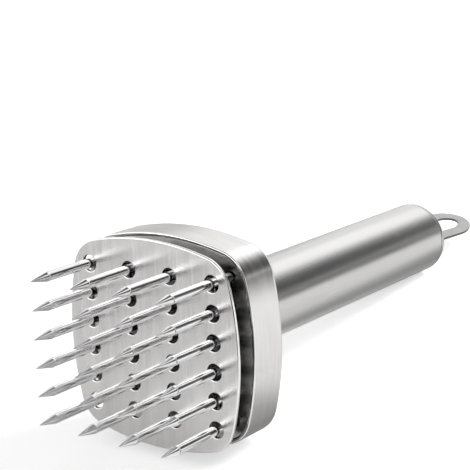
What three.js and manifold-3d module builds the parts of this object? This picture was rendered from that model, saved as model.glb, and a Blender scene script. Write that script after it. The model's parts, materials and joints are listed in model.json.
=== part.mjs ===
// Needle meat tenderizer: a spring-loaded guard plate over 24 needles, a drawn head shell and a tube handle.
// Millimetres. In the tool's own frame X runs from the needle points to the hanging eye, and X = 0 is the
// guard plate's front face. The finished tool lies on a table, tilted onto its shell and handle end, +Z up.

import * as THREE from 'three';
import { mergeVertices } from 'three/addons/utils/BufferGeometryUtils.js';
import Module from 'manifold-3d';

const wasm = await Module();
wasm.setup();

// Needle field
const columns = 4;
const rows = 6;
const columnMargin = 8.6;
const rowMargin = 9.85;
const needleRadius = 1.5;
const needleReach = 24.3;
const needlePointLength = 6.2;
const needlePointBluntness = 0.12;
const needleHeadRadius = 2.4;
const needleHeadThickness = 1;

// Head outline: bowed sides with rounded corners
const headHalfWidth = 31.1;
const sideBowRadius = 86;
const cornerRadius = 10.5;

// Plates and shell
const guardThickness = 1.2;
const guardHoleRadius = 2.4;
const rimStandoff = 6.4;
const shellDepth = 14.6;
const shellWall = 1;
const shellEdgeRadius = 2;
const carrierInset = 1;
const carrierThickness = 2;
const backingThickness = 1.2;
const backingMargin = 3;

// Clearances
const seatGap = 0.3;
const runningGap = 0.3;
const pressGap = 0.5;
const cutOverrun = 1;

// Guide posts, springs and clips
const postRadius = 1.6;
const postGrooveRadius = 1;
const postNoseLength = 0.5;
const postFootRadius = 1.9;
const postFootThickness = 0.6;
const clipRadius = 3;
const clipThickness = 0.6;
const clipMouthWidth = 2.2;
const springMeanRadius = 2.7;
const springWireRadius = 0.25;
const springTurns = 6;
const springDeadTurns = 0.75;
const springEndGap = 0.5;

// Pillars and screws
const pillarRadius = 2.9;
const screwRadius = 1.45;
const screwLength = 9.5;
const screwHeadRadius = 2.8;
const screwHeadDepth = 1.4;
const screwSlotWidth = 0.7;
const screwSlotDepth = 0.5;

// Handle
const handleRadius = 12.7;
const handleWall = 1.2;
const handleLength = 126.6;
const plugLength = 18;
const boltRadius = 3;
const boltShankLength = 16;
const boltHeadWidth = 10;
const boltHeadHeight = 3.6;
const washerRadius = 6.5;
const washerThickness = 1.2;
const capFlangeThickness = 1.6;
const capEdgeRadius = 0.7;
const capSpigotLength = 9;

// Hanging eye
const eyeThickness = 0.9;
const eyeTurn = THREE.MathUtils.degToRad(15.5);
const eyeReach = 37.3;
const eyeNeckHalfWidth = 6.5;
const eyeHalfWidth = 8.4;
const eyeEndLength = 14.1;
const eyeSideBand = 4.6;
const eyeTipBand = 5.6;
const eyeRootBand = 5;
const tangHalfWidth = 5;
const tangLength = 8;
const eyePinRadius = 1.2;
const eyePinInset = 5;

// How finely round things are drawn
const needleSides = 12;
const guardHoleSides = 18;
const plateHoleSides = 12;
const smallSides = 12;
const handleSides = 44;
const sideSteps = 9;
const cornerSteps = 7;
const edgeSteps = 4;
const eyeEndSteps = 22;
const springSteps = 8;
const springSides = 5;
const mergeDistance = 1e-4;

// Places along the tool, each worked out from the piece in front of it.
const guardBack = guardThickness;
const rimFront = guardBack + rimStandoff;
const shellBack = rimFront + shellDepth;
const shellFloor = shellBack - shellWall;
const carrierFront = rimFront + carrierInset;
const carrierBack = carrierFront + carrierThickness;
const needleHeadFront = carrierBack + seatGap;
const needleHeadBack = needleHeadFront + needleHeadThickness;
const backingFront = needleHeadBack + seatGap;
const backingBack = backingFront + backingThickness;
const handleFront = shellBack + seatGap;
const handleBack = handleFront + handleLength;
const capFlangeFront = handleBack + seatGap;
const capFlangeBack = capFlangeFront + capFlangeThickness;
const handleBore = handleRadius - handleWall;
const plugRadius = handleBore - seatGap;

// The needle field keeps its margins to the head's sides, and posts and pillars stand midway among the needles.
const fieldBounds = {
  across: headHalfWidth - columnMargin,
  up: headHalfWidth - rowMargin,
};
const columnPitch = 2 * fieldBounds.across / (columns - 1);
const rowPitch = 2 * fieldBounds.up / (rows - 1);
const postAcross = columnPitch;
const postUp = 2 * rowPitch;
const pillarAcross = columnPitch;
const pillarUp = 2 * rowPitch;

// Solids
// Shares the vertices of touching triangles and drops the flat slivers that a lathe leaves on its axis.
function shared(geometry) {
  const bare = geometry.clone();
  bare.deleteAttribute('normal');
  bare.deleteAttribute('uv');
  const merged = mergeVertices(bare, mergeDistance);
  const index = [];
  for (let corner = 0; corner < merged.index.count; corner += 3) {
    const [a, b, c] = [0, 1, 2].map((step) => merged.index.getX(corner + step));
    if (a !== b && b !== c && c !== a) {
      index.push(a, b, c);
    }
  }
  merged.setIndex(index);
  merged.computeVertexNormals();
  return merged;
}

function toManifold(geometry) {
  const merged = shared(geometry);
  return new wasm.Manifold(new wasm.Mesh({
    numProp: 3,
    vertProperties: new Float32Array(merged.attributes.position.array),
    triVerts: new Uint32Array(merged.index.array),
  }));
}

function fromManifold(solid) {
  const mesh = solid.getMesh();
  const geometry = new THREE.BufferGeometry();
  geometry.setAttribute('position', new THREE.BufferAttribute(new Float32Array(mesh.vertProperties), 3));
  geometry.setIndex(new THREE.BufferAttribute(new Uint32Array(mesh.triVerts), 1));
  geometry.computeVertexNormals();
  return geometry;
}

function cut(body, tools) {
  let solid = toManifold(body);
  for (const tool of tools) {
    solid = solid.subtract(toManifold(tool));
  }
  return fromManifold(solid);
}

// Lays an outline drawn in (Y, Z) square across the tool and gives it a thickness along X.
const acrossTool = new THREE.Matrix4().makeBasis(
  new THREE.Vector3(0, 1, 0),
  new THREE.Vector3(0, 0, 1),
  new THREE.Vector3(1, 0, 0),
);

function slab(outline, front, thickness, sides) {
  const geometry = new THREE.ExtrudeGeometry(outline, {
    depth: thickness,
    bevelEnabled: false,
    curveSegments: sides / 2,
  });
  return geometry.applyMatrix4(acrossTool).translate(front, 0, 0);
}

// Turns a profile of [radius, x] points about a line along X.
function turned(profile, sides, y = 0, z = 0) {
  const points = profile.map(([radius, x]) => new THREE.Vector2(radius, x));
  const geometry = new THREE.LatheGeometry(points, sides, Math.PI / sides);
  return geometry.rotateZ(-Math.PI / 2).translate(0, y, z);
}

function rod(radius, front, back, sides, y = 0, z = 0) {
  return turned([[0, front], [radius, front], [radius, back], [0, back]], sides, y, z);
}

// Places that repeat
function needlePlaces() {
  const places = [];
  for (let row = 0; row < rows; row += 1) {
    for (let column = 0; column < columns; column += 1) {
      places.push({
        name: `needle_r${row + 1}_c${column + 1}`,
        y: fieldBounds.across - column * columnPitch,
        z: fieldBounds.up - row * rowPitch,
      });
    }
  }
  return places;
}

const postPlaces = [[1, 1], [-1, 1], [-1, -1], [1, -1]].map(([ySign, zSign]) => ({
  y: ySign * postAcross,
  z: zSign * postUp,
}));

const pillarPlaces = [
  { y: 0, z: pillarUp },
  { y: -pillarAcross, z: 0 },
  { y: 0, z: -pillarUp },
  { y: pillarAcross, z: 0 },
];

// Head outline
// Points round the head, drawn in from the true outline by an inset. Each side is an arc of the bow
// radius and each corner an arc that meets two sides without a kink.
function headPoints(inset) {
  const half = headHalfWidth - inset;
  const bow = sideBowRadius - inset;
  const corner = cornerRadius - inset;
  const bowCentre = half - bow;
  const reach = bow - corner;
  const cornerCentre = (bowCentre + Math.sqrt(2 * reach * reach - bowCentre * bowCentre)) / 2;
  const sideAngle = Math.atan2(cornerCentre, cornerCentre - bowCentre);
  const cornerSweep = Math.PI / 2 - 2 * sideAngle;
  const points = [];
  for (let quarter = 0; quarter < 4; quarter += 1) {
    const turn = quarter * Math.PI / 2;
    for (let step = 0; step < sideSteps; step += 1) {
      const angle = -sideAngle + 2 * sideAngle * step / sideSteps;
      const point = new THREE.Vector2(bowCentre + bow * Math.cos(angle), bow * Math.sin(angle));
      points.push(point.rotateAround(new THREE.Vector2(), turn));
    }
    for (let step = 0; step < cornerSteps; step += 1) {
      const angle = sideAngle + cornerSweep * step / cornerSteps;
      const point = new THREE.Vector2(
        cornerCentre + corner * Math.cos(angle),
        cornerCentre + corner * Math.sin(angle),
      );
      points.push(point.rotateAround(new THREE.Vector2(), turn));
    }
  }
  return points;
}

function circlePath(y, z, radius) {
  const path = new THREE.Path();
  path.absarc(y, z, radius, 0, 2 * Math.PI, true);
  return path;
}

function headPlate(inset, front, thickness, holes, sides) {
  const outline = new THREE.Shape(headPoints(inset));
  outline.holes = holes;
  return slab(outline, front, thickness, sides);
}

// Joins rings of equal point counts into one closed skin, and closes its two ends with fans of triangles.
function skinOf(rings) {
  const count = rings[0].length;
  const positions = rings.flat().flatMap((point) => [point.x, point.y, point.z]);
  const index = [];
  for (let ring = 0; ring + 1 < rings.length; ring += 1) {
    for (let step = 0; step < count; step += 1) {
      const a = ring * count + step;
      const b = ring * count + (step + 1) % count;
      index.push(a, b, a + count, b, b + count, a + count);
    }
  }
  for (const [ring, flip] of [[0, true], [rings.length - 1, false]]) {
    const centre = new THREE.Vector3();
    rings[ring].forEach((point) => centre.add(point));
    centre.divideScalar(count);
    const middle = positions.length / 3;
    positions.push(centre.x, centre.y, centre.z);
    for (let step = 0; step < count; step += 1) {
      const a = ring * count + step;
      const b = ring * count + (step + 1) % count;
      index.push(middle, flip ? b : a, flip ? a : b);
    }
  }
  const geometry = new THREE.BufferGeometry();
  geometry.setAttribute('position', new THREE.Float32BufferAttribute(positions, 3));
  geometry.setIndex(index);
  return geometry;
}

function headRing(inset, x) {
  return headPoints(inset).map((point) => new THREE.Vector3(x, point.x, point.y));
}

// Sub-parts of the head
function guardPlate() {
  const holes = needlePlaces().map(({ y, z }) => circlePath(y, z, guardHoleRadius));
  return headPlate(0, 0, guardThickness, holes, guardHoleSides);
}

function needle({ y, z }) {
  const tip = -needleReach;
  const shoulder = tip + needlePointLength;
  const profile = [
    [0, tip],
    [needlePointBluntness, tip],
    [needleRadius, shoulder],
    [needleRadius, needleHeadFront],
    [needleHeadRadius, needleHeadFront],
    [needleHeadRadius, needleHeadBack],
    [0, needleHeadBack],
  ];
  return turned(profile, needleSides, y, z);
}

function needleCarrier() {
  const holes = needlePlaces().map(({ y, z }) => circlePath(y, z, needleRadius + runningGap));
  for (const { y, z } of postPlaces) {
    holes.push(circlePath(y, z, springMeanRadius + springWireRadius + runningGap));
  }
  const plate = headPlate(shellWall + seatGap, carrierFront, carrierThickness, holes, plateHoleSides);
  return cut(plate, pillarPlaces.map(({ y, z }) => screwClearance(y, z)));
}

function screwClearance(y, z) {
  const headBottom = carrierFront + screwHeadDepth + seatGap;
  const front = carrierFront - cutOverrun;
  const profile = [
    [0, front],
    [screwHeadRadius + seatGap, front],
    [screwHeadRadius + seatGap, carrierFront + seatGap],
    [screwRadius + runningGap, headBottom],
    [screwRadius + runningGap, carrierBack + cutOverrun],
    [0, carrierBack + cutOverrun],
  ];
  return turned(profile, smallSides, y, z);
}

function backingPlate() {
  const holes = postPlaces.map(({ y, z }) => circlePath(y, z, postRadius + runningGap));
  for (const { y, z } of pillarPlaces) {
    holes.push(circlePath(y, z, screwRadius + runningGap));
  }
  return headPlate(shellWall + backingMargin, backingFront, backingThickness, holes, plateHoleSides);
}

// The drawn cup: its outer skin with a rounded back edge, less the space inside it and the bolt hole.
function headShell() {
  const outer = [headRing(0, rimFront)];
  for (let step = 0; step <= edgeSteps; step += 1) {
    const angle = Math.PI / 2 * step / edgeSteps;
    const inset = shellEdgeRadius * (1 - Math.cos(angle));
    outer.push(headRing(inset, shellBack - shellEdgeRadius * (1 - Math.sin(angle))));
  }
  const innerEdge = shellEdgeRadius - shellWall;
  const inner = [headRing(shellWall, rimFront - cutOverrun)];
  for (let step = 0; step <= edgeSteps; step += 2) {
    const angle = Math.PI / 2 * step / edgeSteps;
    const inset = shellWall + innerEdge * (1 - Math.cos(angle));
    inner.push(headRing(inset, shellFloor - innerEdge * (1 - Math.sin(angle))));
  }
  const boltHole = rod(boltRadius + runningGap, shellFloor - cutOverrun, shellBack + cutOverrun, smallSides);
  return cut(skinOf(outer), [skinOf(inner), boltHole]);
}

// Guide posts, springs and clips
const clipFront = backingBack + seatGap;
const grooveFront = clipFront - seatGap / 2;
const grooveBack = clipFront + clipThickness + seatGap / 2;
const postEnd = grooveBack + postNoseLength;

// The guard can be pressed back until it nears the rim or its posts near the shell's floor.
const guardTravel = Math.min(rimStandoff - pressGap, shellFloor - seatGap - postEnd);

function guidePost({ y, z }) {
  const foot = guardBack + seatGap;
  const profile = [
    [0, foot],
    [postFootRadius, foot],
    [postFootRadius, foot + postFootThickness],
    [postRadius, foot + postFootThickness],
    [postRadius, grooveFront],
    [postGrooveRadius, grooveFront],
    [postGrooveRadius, grooveBack],
    [postRadius, grooveBack],
    [postRadius, postEnd],
    [0, postEnd],
  ];
  return turned(profile, smallSides, y, z);
}

// A flat ring with a mouth that opens away from the tool's middle.
function retainingClip({ y, z }) {
  const bore = postGrooveRadius + runningGap;
  const outerHalf = Math.asin(clipMouthWidth / 2 / clipRadius);
  const innerHalf = Math.asin(clipMouthWidth / 2 / bore);
  const outline = new THREE.Shape();
  outline.absarc(0, 0, clipRadius, outerHalf, -outerHalf, false);
  outline.absarc(0, 0, bore, -innerHalf, innerHalf, true);
  outline.closePath();
  const clip = slab(outline, clipFront, clipThickness, smallSides);
  return clip.rotateX(Math.atan2(z, y)).translate(0, y, z);
}

// One unbroken round-wire helix with a nearly flat turn at each end.
function spring({ y, z }) {
  const front = guardBack + seatGap + springWireRadius;
  const back = backingFront - seatGap - springWireRadius;
  const count = springTurns * springSteps;
  const wirePitch = 2 * springWireRadius + springEndGap;
  const dead = springDeadTurns / springTurns;
  const deadRise = springDeadTurns * wirePitch;
  const centres = [];
  for (let step = 0; step <= count; step += 1) {
    const share = step / count;
    const along = springRise(share, dead, deadRise, back - front);
    const angle = 2 * Math.PI * springTurns * share;
    centres.push(new THREE.Vector3(
      front + along,
      springMeanRadius * Math.cos(angle),
      springMeanRadius * Math.sin(angle),
    ));
  }
  return { geometry: wireAlong(centres, springWireRadius, springSides).translate(0, y, z), centres };
}

function springRise(share, dead, deadRise, length) {
  if (share < dead) {
    return deadRise * share / dead;
  }
  if (share > 1 - dead) {
    return length - deadRise * (1 - share) / dead;
  }
  return deadRise + (length - 2 * deadRise) * (share - dead) / (1 - 2 * dead);
}

// A closed round tube through a list of centres, its rings square to the line and turned about the coil.
function wireAlong(centres, radius, sides) {
  const rings = centres.map((centre, step) => {
    const before = centres[Math.max(step - 1, 0)];
    const after = centres[Math.min(step + 1, centres.length - 1)];
    const along = new THREE.Vector3().subVectors(after, before).normalize();
    const out = new THREE.Vector3(0, centre.y, centre.z).normalize();
    const side = new THREE.Vector3().crossVectors(along, out).normalize();
    out.crossVectors(side, along);
    const ring = [];
    for (let corner = 0; corner < sides; corner += 1) {
      const angle = 2 * Math.PI * corner / sides;
      ring.push(centre.clone()
        .addScaledVector(out, radius * Math.cos(angle))
        .addScaledVector(side, radius * Math.sin(angle)));
    }
    return ring;
  });
  return skinOf(rings);
}

// Least distance between the surfaces of two stretches of a wire that lie half a turn or more apart.
function selfGap(centres, radius) {
  let least = Infinity;
  for (let first = 0; first < centres.length; first += 1) {
    for (let second = first + springSteps / 2; second < centres.length; second += 1) {
      least = Math.min(least, centres[first].distanceTo(centres[second]) - 2 * radius);
    }
  }
  return least;
}

// Pillars and screws
function pillar({ y, z }) {
  const front = backingBack + seatGap;
  const back = shellFloor - seatGap;
  const bore = screwRadius + runningGap;
  const boreEnd = carrierFront + screwLength + seatGap;
  const profile = [
    [bore, front],
    [pillarRadius, front],
    [pillarRadius, back],
    [0, back],
    [0, boreEnd],
    [bore, boreEnd],
    [bore, front],
  ];
  return turned(profile, smallSides, y, z);
}

function carrierScrew({ y, z }) {
  const profile = [
    [0, carrierFront],
    [screwHeadRadius, carrierFront],
    [screwRadius, carrierFront + screwHeadDepth],
    [screwRadius, carrierFront + screwLength],
    [0, carrierFront + screwLength],
  ];
  const slot = new THREE.BoxGeometry(2 * screwSlotDepth, 3 * screwHeadRadius, screwSlotWidth);
  return cut(turned(profile, smallSides, y, z), [slot.translate(carrierFront, y, z)]);
}

// Handle
const washerBack = shellFloor - seatGap;
const washerFront = washerBack - washerThickness;
const boltHeadBack = washerFront - seatGap;
const boltHeadFront = boltHeadBack - boltHeadHeight;

function hollowTurned(inner, outer, front, back, sides) {
  return turned([[inner, front], [outer, front], [outer, back], [inner, back], [inner, front]], sides);
}

function centreWasher() {
  return hollowTurned(boltRadius + runningGap, washerRadius, washerFront, washerBack, handleSides / 2);
}

function centreBolt() {
  const hexRadius = boltHeadWidth / Math.sqrt(3);
  const profile = [
    [0, boltHeadFront],
    [hexRadius, boltHeadFront],
    [hexRadius, boltHeadBack],
    [0, boltHeadBack],
  ];
  const shankFront = boltHeadFront + boltHeadHeight / 2;
  const shank = rod(boltRadius, shankFront, boltHeadBack + boltShankLength, smallSides);
  return fromManifold(toManifold(turned(profile, 6)).add(toManifold(shank)));
}

function handlePlug() {
  const back = handleFront + plugLength;
  return hollowTurned(boltRadius + runningGap, plugRadius, handleFront, back, handleSides);
}

function handleTube() {
  return hollowTurned(handleBore, handleRadius, handleFront, handleBack, handleSides);
}

const pinPlace = capFlangeBack - eyePinInset;

function eyePinBar(radius, halfLength) {
  const bar = new THREE.CylinderGeometry(radius, radius, 2 * halfLength, smallSides);
  return bar.rotateX(Math.PI / 2 + eyeTurn).translate(pinPlace, 0, 0);
}

function endCap() {
  const spigotFront = capFlangeFront - capSpigotLength;
  const profile = [
    [0, spigotFront],
    [plugRadius, spigotFront],
    [plugRadius, capFlangeFront],
    [handleRadius, capFlangeFront],
  ];
  for (let step = 0; step <= edgeSteps; step += 1) {
    const angle = Math.PI / 2 * step / edgeSteps;
    profile.push([
      handleRadius - capEdgeRadius * (1 - Math.cos(angle)),
      capFlangeBack - capEdgeRadius * (1 - Math.sin(angle)),
    ]);
  }
  profile.push([0, capFlangeBack]);
  const slotLength = capSpigotLength + capFlangeThickness + 2 * cutOverrun;
  const slot = new THREE.BoxGeometry(
    slotLength,
    2 * (tangHalfWidth + seatGap),
    eyeThickness + 2 * seatGap,
  );
  slot.rotateX(eyeTurn).translate(capFlangeBack + cutOverrun - slotLength / 2, 0, 0);
  return cut(turned(profile, handleSides), [slot, eyePinBar(eyePinRadius + runningGap, handleRadius)]);
}

// The hanging eye is cut from sheet: a tang, a neck that widens and an oval end, round a long opening.
function hangingEye() {
  const tip = capFlangeBack + eyeReach;
  const shoulder = capFlangeBack + seatGap;
  const ovalCentre = tip - eyeEndLength;
  const outline = new THREE.Shape();
  outline.moveTo(capFlangeBack - tangLength, -tangHalfWidth);
  outline.lineTo(shoulder, -tangHalfWidth);
  outline.lineTo(shoulder, -eyeNeckHalfWidth);
  outline.absellipse(ovalCentre, 0, eyeEndLength, eyeHalfWidth, -Math.PI / 2, Math.PI / 2, false);
  outline.lineTo(shoulder, eyeNeckHalfWidth);
  outline.lineTo(shoulder, tangHalfWidth);
  outline.lineTo(capFlangeBack - tangLength, tangHalfWidth);
  outline.closePath();
  outline.holes = [eyeOpening(shoulder, ovalCentre), circlePath(pinPlace, 0, eyePinRadius + runningGap)];
  const sheet = new THREE.ExtrudeGeometry(outline, {
    depth: eyeThickness,
    bevelEnabled: false,
    curveSegments: eyeEndSteps / 2,
  });
  return sheet.translate(0, 0, -eyeThickness / 2).rotateX(eyeTurn);
}

function eyeOpening(shoulder, ovalCentre) {
  const widening = (eyeHalfWidth - eyeNeckHalfWidth) / (ovalCentre - shoulder);
  const rootHalf = eyeNeckHalfWidth + widening * eyeRootBand - eyeSideBand;
  const rootCentre = shoulder + eyeRootBand + rootHalf;
  const tipLength = eyeEndLength - eyeTipBand;
  const tipHalf = eyeHalfWidth - eyeSideBand;
  const opening = new THREE.Path();
  opening.absellipse(ovalCentre, 0, tipLength, tipHalf, Math.PI / 2, -Math.PI / 2, true);
  opening.absellipse(rootCentre, 0, rootHalf, rootHalf, -Math.PI / 2, Math.PI / 2, true);
  opening.closePath();
  return opening;
}

function eyePin() {
  return eyePinBar(eyePinRadius, plugRadius - seatGap);
}

// Finishes
const finishes = {
  polished: { color: 0xd8d8da, roughness: 0.16, metalness: 1 },
  brushedPlate: { color: 0xc4c2c2, roughness: 0.38, metalness: 1 },
  brushedShell: { color: 0xcfcecd, roughness: 0.32, metalness: 1 },
  mirrorDark: { color: 0x8c8a8b, roughness: 0.12, metalness: 1 },
  satinTube: { color: 0xcac9c8, roughness: 0.28, metalness: 1 },
  tumbledSheet: { color: 0xc6c5c5, roughness: 0.45, metalness: 1 },
  springSteel: { color: 0x9a9a9c, roughness: 0.3, metalness: 1 },
  zinc: { color: 0xb4b6ba, roughness: 0.42, metalness: 1 },
};

// The assembly
const tool = new THREE.Group();

function add(name, geometry, finish) {
  const material = new THREE.MeshStandardMaterial({ ...finishes[finish], flatShading: true });
  const mesh = new THREE.Mesh(shared(geometry), material);
  mesh.name = name;
  tool.add(mesh);
}

add('guard_plate', guardPlate(), 'brushedPlate');
needlePlaces().forEach((place) => add(place.name, needle(place), 'polished'));
add('needle_carrier', needleCarrier(), 'mirrorDark');
add('backing_plate', backingPlate(), 'brushedPlate');
add('head_shell', headShell(), 'brushedShell');

postPlaces.forEach((place, number) => {
  const coil = spring(place);
  add(`guide_post_${number + 1}`, guidePost(place), 'polished');
  add(`guard_spring_${number + 1}`, coil.geometry, 'springSteel');
  add(`retaining_clip_${number + 1}`, retainingClip(place), 'springSteel');
  const gap = selfGap(coil.centres, springWireRadius);
  console.log(`guard_spring_${number + 1} least gap to itself, mm:`, gap.toFixed(2));
});

pillarPlaces.forEach((place, number) => {
  add(`pillar_${number + 1}`, pillar(place), 'zinc');
  add(`carrier_screw_${number + 1}`, carrierScrew(place), 'zinc');
});

add('centre_washer', centreWasher(), 'zinc');
add('centre_bolt', centreBolt(), 'zinc');
add('handle_plug', handlePlug(), 'zinc');
add('handle_tube', handleTube(), 'satinTube');
add('end_cap', endCap(), 'satinTube');
add('hanging_eye', hangingEye(), 'tumbledSheet');
add('eye_pin', eyePin(), 'zinc');

// The tool lies on the shell's rounded back edge and the end cap's rounded edge: the slope of the line
// that touches both circles below the tool's axis.
function lyingTilt() {
  const run = (capFlangeBack - capEdgeRadius) - (shellBack - shellEdgeRadius);
  const drop = (headHalfWidth - shellEdgeRadius) - (handleRadius - capEdgeRadius);
  const slope = Math.atan2(drop, run);
  return slope + Math.asin((shellEdgeRadius - capEdgeRadius) / Math.hypot(run, drop));
}

console.log('guard travel, mm:', guardTravel.toFixed(2));
tool.rotation.y = lyingTilt();
tool.updateMatrixWorld(true);
const laidBox = new THREE.Box3().setFromObject(tool, true);
const laidCentre = laidBox.getCenter(new THREE.Vector3());
tool.position.set(-laidCentre.x, -laidCentre.y, -laidBox.min.z);

const tenderizer = new THREE.Group();
tenderizer.add(tool);

export default tenderizer;
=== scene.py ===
import json
import math

import bmesh
import bpy
from bpy.props import FloatProperty, FloatVectorProperty, IntProperty, PointerProperty
from mathutils import Matrix, Vector


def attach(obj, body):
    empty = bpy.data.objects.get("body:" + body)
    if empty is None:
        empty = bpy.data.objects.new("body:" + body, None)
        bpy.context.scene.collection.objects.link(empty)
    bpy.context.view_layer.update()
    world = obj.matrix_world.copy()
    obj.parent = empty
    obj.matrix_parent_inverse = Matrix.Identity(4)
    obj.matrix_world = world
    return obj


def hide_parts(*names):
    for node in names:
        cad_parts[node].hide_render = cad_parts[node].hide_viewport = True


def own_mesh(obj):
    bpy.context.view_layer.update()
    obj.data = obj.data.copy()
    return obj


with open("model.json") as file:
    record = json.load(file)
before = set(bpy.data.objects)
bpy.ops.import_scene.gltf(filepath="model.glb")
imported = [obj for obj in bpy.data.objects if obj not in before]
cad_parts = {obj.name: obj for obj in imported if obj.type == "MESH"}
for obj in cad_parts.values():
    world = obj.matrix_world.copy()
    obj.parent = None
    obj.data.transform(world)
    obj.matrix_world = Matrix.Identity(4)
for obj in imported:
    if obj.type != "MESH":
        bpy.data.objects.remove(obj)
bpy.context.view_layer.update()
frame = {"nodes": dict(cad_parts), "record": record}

bl_info = {
    "name": "Needle tenderizer",
    "version": (1, 0, 0),
    "blender": (4, 5, 0),
    "location": "View3D > Sidebar > Tenderizer",
    "description": "Builds the fine meshes, finishes and studio of a needle tenderizer round its frame",
    "category": "Object",
}

# Pieces are drawn standing up: X is across the tool, Y is up from it, and Z runs from the needle points to
# the hanging eye, with zero at the guard's front face. LAID lays a drawn piece down where the frame has the
# tool, and STOOD turns lengths along, across and up into a drawn piece's X, Y and Z.
MOUNTS = {mount["name"]: Vector(mount["pos_m"]) for mount in frame["record"]["mounts"]}
SLIDE = frame["record"]["behaviour"]["joints"][0]
ALONG = Vector(SLIDE["axis"]).normalized()
ACROSS = Vector((0, 1, 0))
UPWARD = ALONG.cross(ACROSS)
LAID = Matrix((ACROSS, UPWARD, ALONG)).transposed().to_4x4()
LAID.translation = MOUNTS["guard_face"]
STOOD = Matrix(((0, 1, 0), (0, 0, 1), (1, 0, 0))).to_4x4()
TILT = math.atan2(-ALONG.z, ALONG.x)
MILLIMETRE = 0.001
MERGE = 1e-6
# A face is shaded flat if the part of its normal along the tool is at least this, and smooth otherwise.
FLAT = 0.9995
# A support point beside a rounded corner takes at most this share of the flat that is left there.
SUPPORT_SHARE = 1 / 3
# How finely round shapes are drawn.
EDGE_STEPS = 3
EDGE_ANGLE = math.radians(40)
HOLE_SIDES = 48
NEEDLE_HOLE_SIDES = 36
PIN_HOLE_SIDES = 32
POST_SIDES = 40
OVAL_STEPS = 40
TURN_STEPS = 28
WIRE_SIDES = 10
# Guide posts and their springs stand in so many rows and columns.
POST_ROWS, POST_COLUMNS = 2, 2


def amount(name, description, default, least=0, **more):
    return FloatProperty(name=name, description=description, default=default, min=least, **more)


def length(name, description, default):
    return amount(name, description, default, unit="LENGTH", precision=5)


def depth(name, place, default):
    return length(name, f"From the guard's face to {place}", default)


def count(name, description, default, least):
    return IntProperty(name=name, description=description, default=default, min=least)


def colour(name, description, default):
    return FloatVectorProperty(
        name=name, description=description, default=default, min=0, max=1, size=3, subtype="COLOR"
    )


class TenderizerHead(bpy.types.PropertyGroup):
    half_width: length("Half width", "From the head's middle to the middle of a side", 0.0311)
    side_bow_radius: length("Side bow radius", "Radius of the bow of each side", 0.086)
    corner_radius: length("Corner radius", "Radius of the head's four corners", 0.0105)
    guard_thickness: length("Guard thickness", "Thickness of the guard plate", 0.0012)
    guard_hole_radius: length("Guard hole radius", "Radius of the holes that the needles slide in", 0.0024)
    plate_edge_round: length("Plate edge rounding", "Rounding of the plates' edges", 0.0004)
    rim_front: depth("Rim front", "the shell's rim", 0.0076)
    rim_round: length("Rim rounding", "Rounding of the shell's rim", 0.00042)
    shell_back: depth("Shell back", "the shell's back", 0.0222)
    shell_wall: length("Shell wall", "Thickness of the drawn shell", 0.001)
    shell_edge_radius: length("Shell edge radius", "Rounding of the shell's back edge", 0.002)
    bolt_hole_radius: length("Bolt hole radius", "Hole in the shell's back for the centre bolt", 0.0033)
    carrier_front: depth("Carrier front", "the needle carrier", 0.0086)
    carrier_thickness: length("Carrier thickness", "Thickness of the needle carrier", 0.002)
    carrier_inset: length("Carrier inset", "From the shell's outside to the carrier's edge", 0.0013)
    carrier_hole_radius: length("Carrier hole radius", "Radius of the carrier's needle holes", 0.0018)
    side_steps: count("Side steps", "Points along each side", 26, 2)
    corner_steps: count("Corner steps", "Points round each corner", 18, 2)


class TenderizerNeedles(bpy.types.PropertyGroup):
    rows: count("Rows", "Rows of needles", 6, 1)
    columns: count("Columns", "Columns of needles", 4, 1)
    pitch_up: length("Pitch up", "Between rows", 0.0085)
    pitch_across: length("Pitch across", "Between columns", 0.015)
    radius: length("Radius", "Radius of a needle at the point's shoulder", 0.0015)
    shank_relief: length("Shank relief", "How much thinner the shank is than the point's shoulder", 0.00005)
    shoulder_land: length("Shoulder land", "Width of the bright ring behind the point", 0.0003)
    reach: depth("Reach", "the points", 0.0243)
    point_length: length("Point length", "Length of the ground cone", 0.0062)
    bluntness: length("Bluntness", "Radius of the point's end", 0.00012)
    head_radius: length("Head radius", "Radius of a needle's head behind the carrier", 0.0024)
    head_front: depth("Head front", "the needle heads", 0.0109)
    head_back: depth("Head back", "the back of the heads", 0.0119)
    sides: count("Sides", "Sides of a needle", 40, 8)


class TenderizerGuides(bpy.types.PropertyGroup):
    pitch_up: length("Pitch up", "Between the upper and lower posts", 0.034)
    pitch_across: length("Pitch across", "Between the left and right posts", 0.03)
    post_radius: length("Post radius", "Radius of a guide post", 0.0016)
    foot_radius: length("Foot radius", "Radius of a post's foot", 0.0019)
    foot_front: depth("Foot front", "a post's foot", 0.0015)
    foot_thickness: length("Foot thickness", "Thickness of a post's foot", 0.0006)
    groove_radius: length("Groove radius", "Radius of the groove for the clip", 0.001)
    groove_front: depth("Groove front", "the groove", 0.01355)
    groove_back: depth("Groove back", "the groove's end", 0.01445)
    post_end: depth("Post end", "a post's end", 0.01495)
    spring_hole_radius: length("Spring hole radius", "Hole in the carrier round a spring", 0.00325)
    spring_mean_radius: length("Spring mean radius", "From a spring's middle to the wire's middle", 0.0027)
    wire_radius: length("Wire radius", "Radius of the spring wire", 0.00025)
    spring_front: length("Spring front", "Where the wire's middle starts", 0.00175)
    spring_back: length("Spring back", "Where the wire's middle ends", 0.01165)
    dead_rise: length("Dead turn rise", "Rise of the nearly flat turn at each end", 0.00075)
    turns: amount("Turns", "Turns of each spring", 6, 1)
    dead_turns: amount("Dead turns", "Nearly flat turns at each end", 0.75)
    screw_pitch_up: length("Screw pitch up", "Between the upper and lower screws", 0.034)
    screw_pitch_across: length("Screw pitch across", "Between the left and right screws", 0.03)
    screw_hole_radius: length("Screw hole radius", "Hole in the carrier round a screw's head", 0.0031)


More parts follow.
